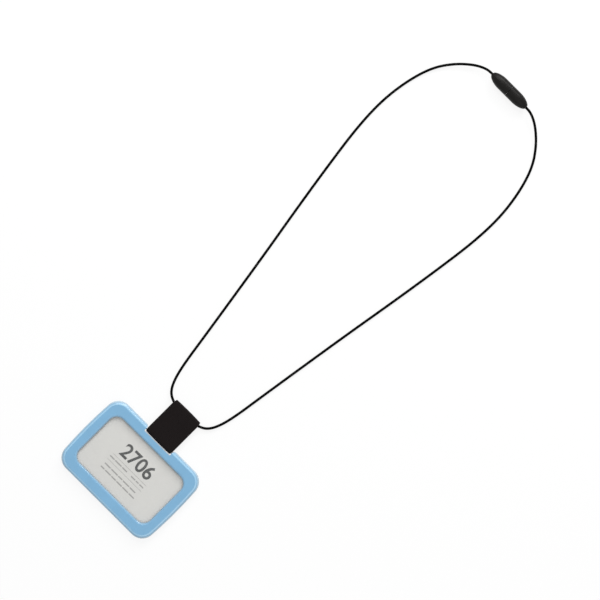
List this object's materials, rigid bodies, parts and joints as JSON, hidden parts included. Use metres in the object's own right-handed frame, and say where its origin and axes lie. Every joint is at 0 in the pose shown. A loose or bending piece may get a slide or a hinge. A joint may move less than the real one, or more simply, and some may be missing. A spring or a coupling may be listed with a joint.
{
  "type": "lanyard badge holder",
  "caption": "Light blue card frame with clear windows, hung by a black webbing strap from a round neck cord with a release coupling.",
  "frame": {"origin": "centre of the holder's back face, which lies on the rest plane", "axes": "+X along the holder's long side towards the card slot, +Y towards the strap and neck cord, +Z out of the holder's front face"},
  "size_m": [0.1444, 0.5036, 0.0112],
  "materials": {
    "shell": "soft-touch satin, light blue",
    "tray": "smooth natural white",
    "steel": "drawn pin",
    "window": "clear polymer sheet, clear and glossy",
    "card": null,
    "webbing": "fine ribbed black webbing",
    "thread": "black polyester thread",
    "cord": "smooth round black cord",
    "coupling": "satin black moulded",
    "crimp": "plain drawn"
  },
  "bodies": {
    "lanyard": {"strap_loop": "webbing", "lap_stitches": "thread", "cord_left": "cord", "release_socket": "coupling", "socket_crimp": "crimp"},
    "holder": {"front_shell": "shell", "rear_shell": "shell", "core_tray": "tray", "strap_bar": "steel", "front_window": "window", "rear_window": "window"},
    "card": {"id_card": "card"},
    "plug_side": {"cord_right": "cord", "release_plug": "coupling", "plug_crimp": "crimp"}
  },
  "joints": [
    {"name": "badge_swing", "type": "hinge", "parent": "lanyard", "child": "holder", "pos_m": [0, 0.03545, 0.0038], "axis": [1, 0, 0], "range_deg": [-90, 90]},
    {"name": "card_slide", "type": "slide", "parent": "holder", "child": "card", "axis": [1, 0, 0], "range_m": [0, 0.1]},
    {"name": "coupling_release", "type": "slide", "parent": "lanyard", "child": "plug_side", "axis": [1, 0, 0], "range_m": [0, 0.016]}
  ]
}
